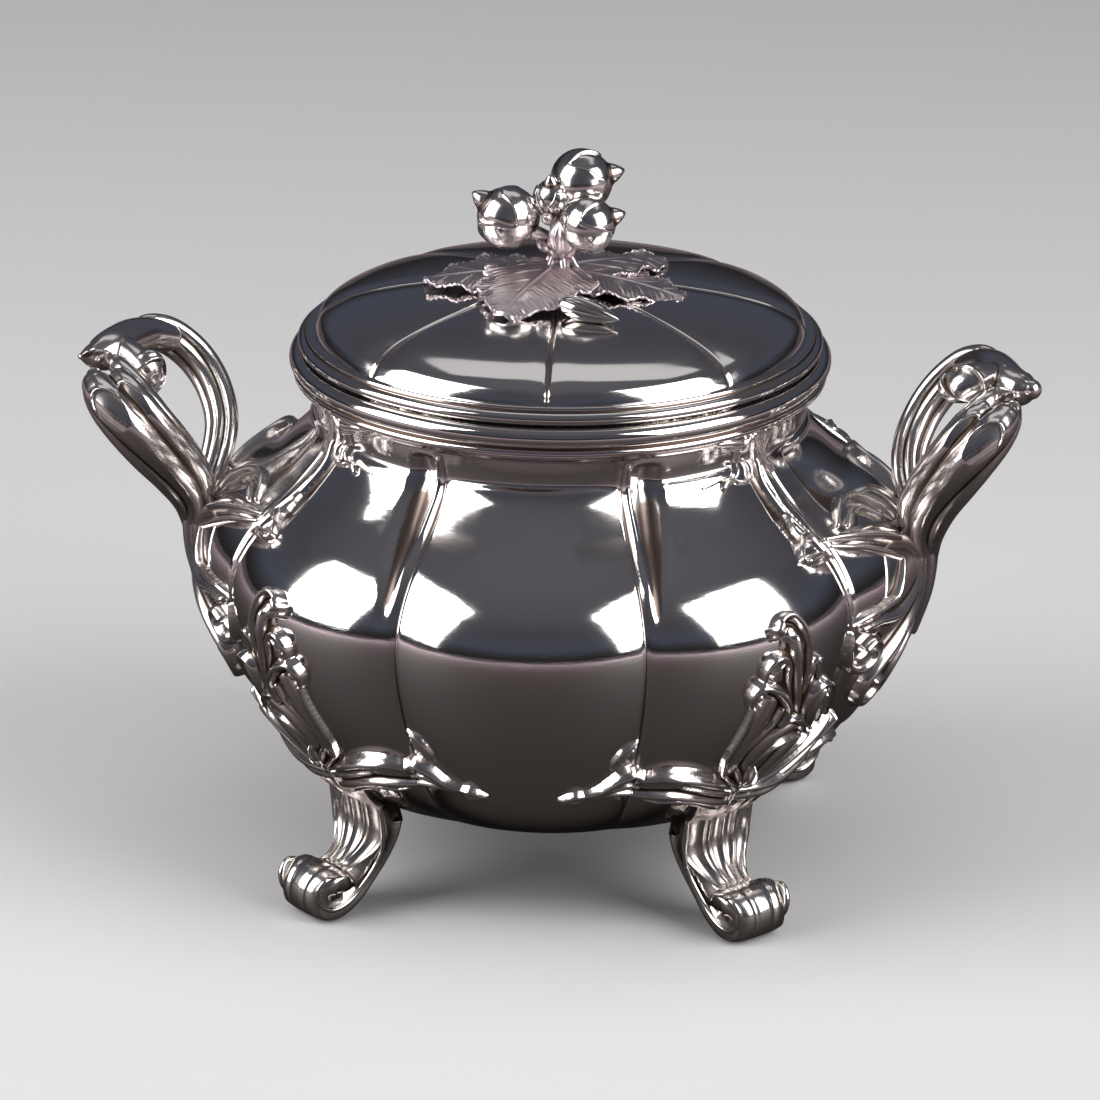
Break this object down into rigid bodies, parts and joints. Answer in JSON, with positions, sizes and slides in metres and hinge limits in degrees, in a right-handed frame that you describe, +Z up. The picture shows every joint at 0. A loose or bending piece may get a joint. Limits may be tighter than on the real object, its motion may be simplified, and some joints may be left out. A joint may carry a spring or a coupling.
{
  "type": "sugar bowl",
  "caption": "Lobed silver sugar bowl on scroll feet, with branch handles and a lift-off domed lid that carries a finial of nuts and leaves.",
  "frame": {"origin": "on the bowl's axis, at the height of the surface that the four toes rest on", "axes": "+Z up; the handles lie along X, with the right handle at +X; the front faces -Y"},
  "size_m": [0.2028, 0.1538, 0.1543],
  "materials": {
    "sheet_silver": "mirror polished with fine wiping scratches and warm tarnish in the creases",
    "cast_silver": "polished casting with dark brown tarnish in the recesses",
    "moulding_silver": "polished moulding with brown tarnish in the coves",
    "leaf_silver": "satin, oxidised grey with a violet cast",
    "nut_silver": "polished with oxidised lines",
    "fixing": "plain turned silver, slightly dull"
  },
  "bodies": {
    "bowl": {"bowl_shell": "sheet_silver", "bowl_rim": "moulding_silver", "foot_leg_front_left": "cast_silver", "foot_leg_front_right": "cast_silver", "foot_leg_back_left": "cast_silver", "foot_leg_back_right": "cast_silver", "foot_leaf_front_left": "cast_silver", "foot_leaf_front_right": "cast_silver", "foot_leaf_back_left": "cast_silver", "foot_leaf_back_right": "cast_silver", "foot_strap_front_left": "cast_silver", "foot_strap_front_right": "cast_silver", "foot_strap_back_left": "cast_silver", "foot_strap_back_right": "cast_silver", "foot_scroll_front_left": "cast_silver", "foot_scroll_front_right": "cast_silver", "foot_scroll_back_left": "cast_silver", "foot_scroll_back_right": "cast_silver", "neck_scroll_front_left": "cast_silver", "neck_scroll_front_right": "cast_silver", "neck_scroll_back_left": "cast_silver", "neck_scroll_back_right": "cast_silver", "side_scroll_front_left": "cast_silver", "side_scroll_front_right": "cast_silver", "side_scroll_back_left": "cast_silver", "side_scroll_back_right": "cast_silver", "handle_root_left": "cast_silver", "handle_root_right": "cast_silver", "handle_shield_left": "cast_silver", "handle_shield_right": "cast_silver", "handle_front_branch_left": "cast_silver", "handle_front_branch_right": "cast_silver", "handle_rear_branch_left": "cast_silver", "handle_rear_branch_right": "cast_silver", "handle_tip_left": "cast_silver", "handle_tip_right": "cast_silver"},
    "lid": {"lid_dome": "sheet_silver", "lid_rim": "moulding_silver", "lid_bezel": "sheet_silver", "leaf_left": "leaf_silver", "leaf_front": "leaf_silver", "leaf_right": "leaf_silver", "leaf_back": "leaf_silver", "finial_twig": "leaf_silver", "nut_left": "nut_silver", "nut_top": "nut_silver", "nut_right": "nut_silver", "nut_small": "nut_silver", "bud_front": "nut_silver", "finial_stud": "fixing", "finial_washer": "fixing", "finial_nut": "fixing"}
  },
  "joints": [
    {"name": "lid_lift", "type": "slide", "parent": "bowl", "child": "lid", "axis": [0, 0, 1], "range_m": [0, 0.08]}
  ]
}
